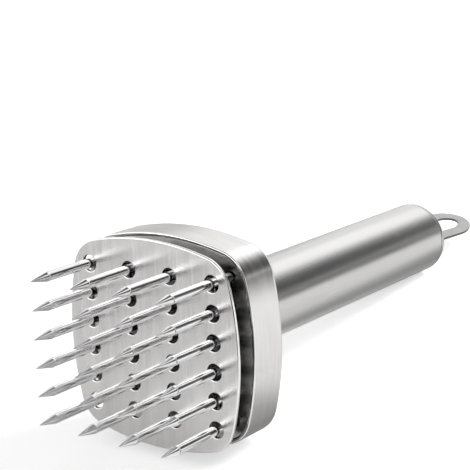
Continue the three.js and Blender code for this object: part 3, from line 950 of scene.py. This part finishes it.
class BuildSprings(bpy.types.Operator):
    """Build the four coil springs at their rest length; the real ones shorten as the guard is pressed"""
    bl_idname = "tenderizer.springs"
    bl_label = "Guard springs"

    def execute(self, context):
        guides = context.scene.tenderizer_guides
        material = finish(spring_steel)
        piece = put("guard_spring_set", bpy.data.meshes.new("springs"))
        grow(
            piece, coil_tree(), turns=guides.turns, dead_turns=guides.dead_turns, dead_rise=guides.dead_rise,
            mean_radius=guides.spring_mean_radius, wire_radius=guides.wire_radius, front=guides.spring_front,
            back=guides.spring_back, steps=round(guides.turns * TURN_STEPS), wire_sides=WIRE_SIDES,
            material=material,
        )
        repeat(piece, guides, POST_ROWS, POST_COLUMNS, material)
        settle(piece, "tool", four("guard_spring"))
        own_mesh(piece)
        return {"FINISHED"}


class BuildHandle(bpy.types.Operator):
    """Build the satin tube handle"""
    bl_idname = "tenderizer.handle"
    bl_label = "Tube handle"

    def execute(self, context):
        sizes = context.scene.tenderizer_handle
        bore, soft = sizes.radius - sizes.wall, sizes.tube_edge_round
        corners = [
            (bore, sizes.front, soft),
            (sizes.radius, sizes.front, soft),
            (sizes.radius, sizes.back, soft),
            (bore, sizes.back, soft),
        ]
        piece = turned_piece("satin_tube", corners, sizes.sides, finish(handle_steel), closed=True)
        settle(piece, "tool", ["handle_tube"])
        return {"FINISHED"}


class BuildEndCap(bpy.types.Operator):
    """Build the end cap with the slot that the hanging eye's tang goes into"""
    bl_idname = "tenderizer.end_cap"
    bl_label = "End cap"

    def execute(self, context):
        sizes, eye = context.scene.tenderizer_handle, context.scene.tenderizer_eye
        gap = sizes.flange_front - sizes.back
        corners = [
            (0, sizes.spigot_front, 0),
            (sizes.spigot_radius, sizes.spigot_front, gap),
            (sizes.spigot_radius, sizes.flange_front, 0),
            (sizes.radius, sizes.flange_front, gap / 2),
            (sizes.radius, sizes.flange_back, sizes.cap_edge_round),
            (0, sizes.flange_back, 0),
        ]
        piece = turned_piece("end_cap_fine", corners, sizes.sides, finish(handle_steel))
        half_length = sizes.flange_back - sizes.spigot_front
        slot = put("tang_slot", bpy.data.meshes.new("slot"))
        box = bmesh.new()
        bmesh.ops.create_cube(box, size=1)
        box.transform(
            Matrix.Translation((0, 0, sizes.flange_back))
            @ Matrix.Rotation(eye.turn, 4, "Z")
            @ Matrix.Diagonal((2 * (eye.tang_half_width + gap), eye.thickness + 2 * gap, 3 * half_length, 1))
        )
        box.to_mesh(slot.data)
        box.free()
        cut = piece.modifiers.new("Tang slot", "BOOLEAN")
        cut.operation = "DIFFERENCE"
        cut.solver = "EXACT"
        cut.object = slot
        settle(piece, "tool", ["end_cap"])
        bpy.data.objects.remove(slot)
        return {"FINISHED"}


class BuildHangingEye(bpy.types.Operator):
    """Build the flat hanging eye from its outline and its long opening"""
    bl_idname = "tenderizer.hanging_eye"
    bl_label = "Hanging eye"

    def execute(self, context):
        eye, handle = context.scene.tenderizer_eye, context.scene.tenderizer_handle
        oval = eye.tip - eye.end_length
        outline = [
            (eye.tang_front, -eye.tang_half_width),
            (eye.shoulder, -eye.tang_half_width),
            (eye.shoulder, -eye.neck_half_width),
            *half_oval(oval, eye.end_length, eye.half_width, -math.pi / 2),
            (eye.shoulder, eye.neck_half_width),
            (eye.shoulder, eye.tang_half_width),
            (eye.tang_front, eye.tang_half_width),
        ]
        widening = (eye.half_width - eye.neck_half_width) / (oval - eye.shoulder)
        root = eye.neck_half_width + widening * eye.root_band - eye.side_band
        opening = [
            *half_oval(oval, eye.end_length - eye.tip_band, eye.half_width - eye.side_band, -math.pi / 2),
            *half_oval(eye.shoulder + eye.root_band + root, root, root, math.pi / 2),
        ]
        pin_hole = [
            (handle.pin_place + way.x * handle.pin_hole_radius, way.y * handle.pin_hole_radius)
            for way, outward in round_outline(PIN_HOLE_SIDES)
        ]
        material = finish(eye_steel)
        piece = put("eye_sheet", edge_loops([outline, opening, pin_hole]))
        grow(piece, plate_tree(), front=-eye.thickness / 2, thickness=eye.thickness, material=material)
        round_edges(piece, eye.edge_round)
        settle(piece, "tool", ["hanging_eye"], Matrix.Rotation(eye.turn, 4, "Z") @ STOOD)
        return {"FINISHED"}


class FinishHiddenParts(bpy.types.Operator):
    """Give the frame's own screws, pillars, clips and centre fastening their finishes"""
    bl_idname = "tenderizer.hidden_parts"
    bl_label = "Hidden parts"

    def execute(self, context):
        plated = four("pillar") + four("carrier_screw") + [
            "centre_washer", "centre_bolt", "handle_plug", "eye_pin",
        ]
        clips = four("retaining_clip")
        for names, metal in ((plated, zinc), (clips, spring_steel), (["backing_plate"], guard_steel)):
            for name in names:
                for material_slot in frame["nodes"][name].material_slots:
                    material_slot.material = finish(metal)
        return {"FINISHED"}


class BuildStage(bpy.types.Operator):
    """Build the pale floor, the soft light, the cards that the metal mirrors, and the camera"""
    bl_idname = "tenderizer.stage"
    bl_label = "Studio"

    def execute(self, context):
        stage = context.scene.tenderizer_stage
        context.scene.view_settings.view_transform = "Standard"
        build_floor(stage)
        build_world(context.scene, stage)
        for name, card in CARDS.items():
            build_card(name, *card)
        for name, sheet in SHEETS.items():
            build_sheet(name, *sheet)
        build_key_light(stage)
        build_camera(context.scene, stage)
        return {"FINISHED"}


# Only reflections see the cards and sheets. A shade is a card's lightness, where 1 is that of the backdrop.
# Cards stand round the tool. Each has its azimuths and its heights, in degrees from the frame's origin, then
# its shade and its distance in metres. The four angles are from, to, soft at the first and soft at the last.
CARDS = {
    "rim_light": ((-90, -77, 5, 5), (2, 50, 6, 10), 2.4, 1.4),
    "side_card": ((-80, 0, 6, 22), (-1, 38, 13, 12), 0.06, 1.5),
    "low_card": ((-66, -14, 12, 16), (0, 11, 0, 8), 0.05, 0.45),
    "camera_card": ((-170, -88, 10, 6), (-1.5, 46, 0, 8), 0.02, 1.5),
    "back_light": ((-16, 28, 14, 14), (15, 44, 8, 10), 1.42, 1.6),
    "back_card": ((31, 80, 9, 12), (0.5, 16, 3, 6), 0.5, 1.5),
    "top_card": ((-75, 80, 10, 10), (48, 80, 8, 3), 0.12, 1.5),
    "left_card": ((94, 162, 8, 8), (6, 24, 5, 6), 1.8, 1.5),
    "high_card": ((94, 266, 8, 8), (50, 82, 6, 2), 0.06, 1.5),
    "front_light": ((122, 208, 12, 10), (20, 60, 8, 8), 2.2, 1.6),
}

# Sheets lie just over the floor. Each has its lengths along the frame's X and Y in metres, in the order of a
# card's angles, then its shade.
SHEETS = {
    "camera_sheet": ((-0.7, -0.165, 0.05, 0.03), (-0.6, -0.012, 0.05, 0.025), 0.05),
    "front_sheet": ((-0.165, -0.088, 0.02, 0.006), (-0.25, -0.005, 0.05, 0.02), 0.95),
    "left_sheet": ((-0.6, -0.13, 0.1, 0.05), (0.0, 0.6, 0.03, 0.1), 0.58),
    # Painted shadow: a dark sheet where the head shades the floor, seen only in reflections.
    "head_shadow_sheet": ((-0.085, -0.03, 0.01, 0.025), (-0.062, -0.01, 0.035, 0.01), 0.28),
    "far_sheet": ((0.16, 0.6, 0.08, 0.1), (-0.5, -0.1, 0.1, 0.06), 0.38),
    # Painted shadow: a dark strip where the handle shades the floor, seen only in reflections.
    "handle_shadow_sheet": ((-0.04, 0.2, 0.02, 0.03), (-0.031, 0.0, 0.018, 0.012), 0.35),
}
SHEET_HEIGHT = 0.0005
SCREEN_COLUMNS, SCREEN_ROWS = 48, 32
# Where the key light stands in the frame, in metres.
KEY_PLACE = (0.5, -0.5, 0.62)

# The camera's right and up directions and its place in metres, each along the tool, across it and up from
# it, with zero in the middle of the guard's face. They come from the view of the grid of holes.
CAMERA_RIGHT = Vector((0.59823, -0.80079, -0.02924))
CAMERA_UP = Vector((0.20311, 0.11623, 0.97223))
CAMERA_PLACE = Vector((-0.28818, -0.24966, 0.12242))
SENSOR_WIDTH = 36


def pale_rays(graph, glossy_share=1):
    """1 where the camera or a clear material looks at the studio, and a share of it in reflections."""
    seen = graph.node("ShaderNodeLightPath")
    return seen.max(seen.other("Is Transmission Ray")).max(seen.other("Is Glossy Ray") * glossy_share)


def build_floor(stage):
    half = stage.floor_half
    mesh = bpy.data.meshes.new("floor")
    corners = [(-half, -half, 0), (half, -half, 0), (half, half, 0), (-half, half, 0)]
    mesh.from_pydata(corners, [], [(0, 1, 2, 3)])
    material = bpy.data.materials.new("pale_floor")
    graph = fresh_graph(material)
    matt = graph.node("ShaderNodeBsdfDiffuse", {}, {"Color": opaque(stage.floor_colour)})
    strength = pale_rays(graph, stage.mirrored_glow_share) * stage.floor_glow
    glow = graph.node("ShaderNodeEmission", {}, {"Strength": strength})
    both = graph.node("ShaderNodeAddShader", {}, {0: matt, 1: glow})
    graph.node("ShaderNodeOutputMaterial", {}, {"Surface": both})
    mesh.materials.append(material)
    put("floor", mesh)


def build_world(scene, stage):
    world = bpy.data.worlds.new("studio")
    graph = fresh_graph(world)
    pale = pale_rays(graph)
    strength = pale + (1 - pale) * stage.fill_level
    light = graph.node("ShaderNodeBackground", {}, {"Color": (1, 1, 1, 1), "Strength": strength})
    graph.node("ShaderNodeOutputWorld", {}, {"Surface": light})
    scene.world = world


def smooth_rise(value, width):
    """0 at 0 and 1 from the width on, with a smooth rise between them."""
    share = min(value / width, 1) if width else 1
    return share * share * (3 - 2 * share)


def build_card(name, azimuths, heights, shade, away):
    """A card that stands round the tool."""
    def standing(azimuth, rise):
        return away * math.cos(azimuth), away * math.sin(azimuth), away * math.tan(rise)

    widths, rises = ([math.radians(angle) for angle in angles] for angles in (azimuths, heights))
    build_screen(name, widths, rises, standing, shade)


def build_sheet(name, along, across, shade):
    """A sheet that lies over the floor."""
    def lying(x, y):
        return x, y, SHEET_HEIGHT

    build_screen(name, along, across, lying, shade)


def build_screen(name, widths, heights, placed, shade):
    """A surface that only reflections see. Its veil, from 0 to 1, fades out along its soft edges."""
    left, right, soft_left, soft_right = widths
    low, high, soft_low, soft_high = heights
    points, veil = [], []
    for row in range(SCREEN_ROWS + 1):
        for column in range(SCREEN_COLUMNS + 1):
            sideways = left + (right - left) * column / SCREEN_COLUMNS
            upwards = low + (high - low) * row / SCREEN_ROWS
            points.append(placed(sideways, upwards))
            veil.append(
                smooth_rise(sideways - left, soft_left) * smooth_rise(right - sideways, soft_right)
                * smooth_rise(upwards - low, soft_low) * smooth_rise(high - upwards, soft_high)
            )
    stride = SCREEN_COLUMNS + 1
    corners = [row * stride + column for row in range(SCREEN_ROWS) for column in range(SCREEN_COLUMNS)]
    faces = [(corner, corner + 1, corner + stride + 1, corner + stride) for corner in corners]
    mesh = bpy.data.meshes.new(name)
    mesh.from_pydata(points, [], faces)
    mesh.attributes.new("veil", "FLOAT", "POINT").data.foreach_set("value", veil)
    mesh.materials.append(card_material(name, shade))
    piece = put(name, mesh)
    for rays in ("camera", "diffuse", "transmission", "shadow"):
        setattr(piece, f"visible_{rays}", False)


def card_material(name, shade):
    """Plain light that grows clear where the veil fades out."""
    material = bpy.data.materials.new(name)
    graph = fresh_graph(material)
    share = graph.node("ShaderNodeAttribute", {"attribute_name": "veil"}, output="Fac")
    flat = graph.node("ShaderNodeEmission", {}, {"Strength": shade})
    clear = graph.node("ShaderNodeBsdfTransparent")
    mixed = graph.node("ShaderNodeMixShader", {}, {0: share, 1: clear, 2: flat})
    graph.node("ShaderNodeOutputMaterial", {}, {"Surface": mixed})
    return material


def build_key_light(stage):
    light = bpy.data.lights.new("key_light", "AREA")
    light.shape = "SQUARE"
    light.size = stage.key_size
    light.energy = stage.key_power
    lamp = put("key_light", light)
    lamp.location = KEY_PLACE
    lamp.rotation_euler = (-Vector(KEY_PLACE)).to_track_quat("-Z", "Y").to_euler()
    lamp.visible_glossy = False


def build_camera(scene, stage):
    camera = bpy.data.cameras.new("camera")
    camera.sensor_fit = "HORIZONTAL"
    camera.sensor_width = SENSOR_WIDTH
    camera.lens = stage.focal_length
    seen = Matrix((CAMERA_RIGHT, CAMERA_UP, CAMERA_RIGHT.cross(CAMERA_UP))).transposed().to_4x4()
    seen.translation = CAMERA_PLACE
    scene.camera = put("camera", camera)
    scene.camera.matrix_world = LAID @ STOOD @ seen


class TenderizerPanel(bpy.types.Panel):
    """Lists the tenderizer's pieces and their sizes"""
    bl_idname = "VIEW3D_PT_tenderizer"
    bl_label = "Tenderizer"
    bl_space_type = "VIEW_3D"
    bl_region_type = "UI"
    bl_category = "Tenderizer"

    def draw(self, context):
        layout = self.layout
        for operator in OPERATORS:
            layout.operator(operator.bl_idname)
        for group_name, group in GROUPS.items():
            box = layout.box()
            box.label(text=group_name.replace("_", " ").capitalize())
            for name in group.__annotations__:
                box.prop(getattr(context.scene, group_name), name)


OPERATORS = (
    BuildGuardPlate,
    BuildNeedles,
    BuildCarrier,
    BuildShell,
    BuildGuidePosts,
    BuildSprings,
    BuildHandle,
    BuildEndCap,
    BuildHangingEye,
    FinishHiddenParts,
    BuildStage,
)


def register():
    for group_name, group in GROUPS.items():
        bpy.utils.register_class(group)
        setattr(bpy.types.Scene, group_name, PointerProperty(type=group))
    for operator in OPERATORS:
        bpy.utils.register_class(operator)
    bpy.utils.register_class(TenderizerPanel)


def unregister():
    bpy.utils.unregister_class(TenderizerPanel)
    for operator in reversed(OPERATORS):
        bpy.utils.unregister_class(operator)
    for group_name, group in reversed(GROUPS.items()):
        delattr(bpy.types.Scene, group_name)
        bpy.utils.unregister_class(group)


def main():
    register()
    for operator in OPERATORS:
        family, action = operator.bl_idname.split(".")
        getattr(getattr(bpy.ops, family), action)()


if __name__ == "__main__":
    main()
